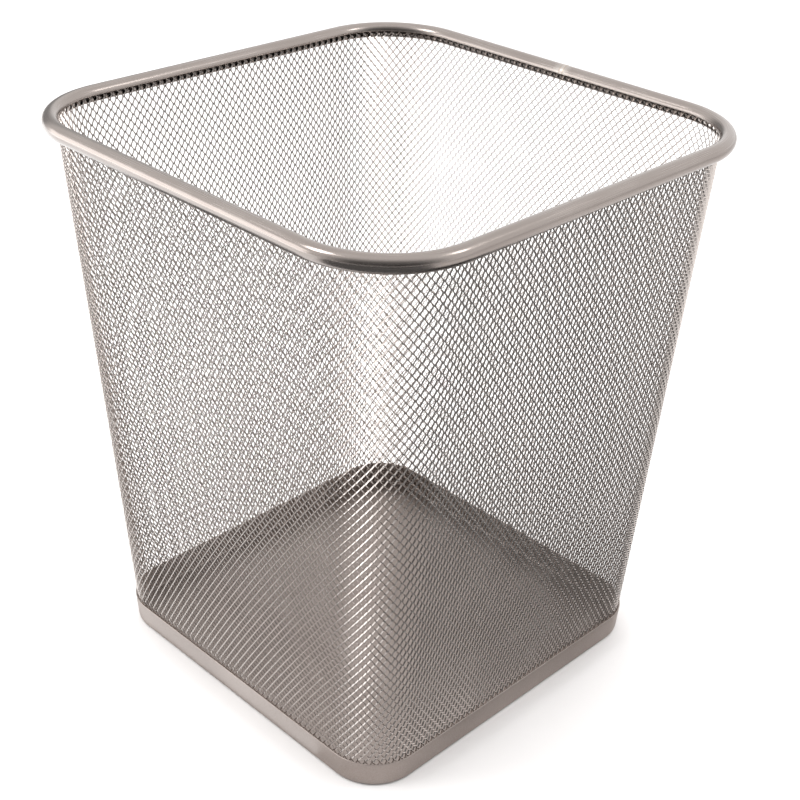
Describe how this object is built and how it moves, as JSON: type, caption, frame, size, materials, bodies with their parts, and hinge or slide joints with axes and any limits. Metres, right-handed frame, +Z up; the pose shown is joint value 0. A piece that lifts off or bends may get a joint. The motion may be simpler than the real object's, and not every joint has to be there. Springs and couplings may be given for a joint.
{
  "type": "wastebasket",
  "caption": "Square tapered steel mesh wastebasket with rounded corners, a rolled tubular rim and a solid pressed base.",
  "frame": {"origin": "middle of the underside of the base pan, on the surface that the basket stands on", "axes": "+Z up through the open mouth; the four equal sides face +X, +Y, -X and -Y; the rim's welded joint is on the +Y side"},
  "size_m": [0.29, 0.29, 0.33],
  "materials": {
    "mesh_steel": "satin silver coat over expanded steel",
    "rim_steel": "semi-gloss silver coat over rolled steel",
    "weld_steel": "ground flush and coated",
    "pan_steel": "satin silver coat over pressed steel"
  },
  "bodies": {
    "root": {"mesh_wall": "mesh_steel", "rim_channel": "rim_steel", "rim_joint_weld": "weld_steel", "base_pan": "pan_steel"}
  },
  "joints": []
}
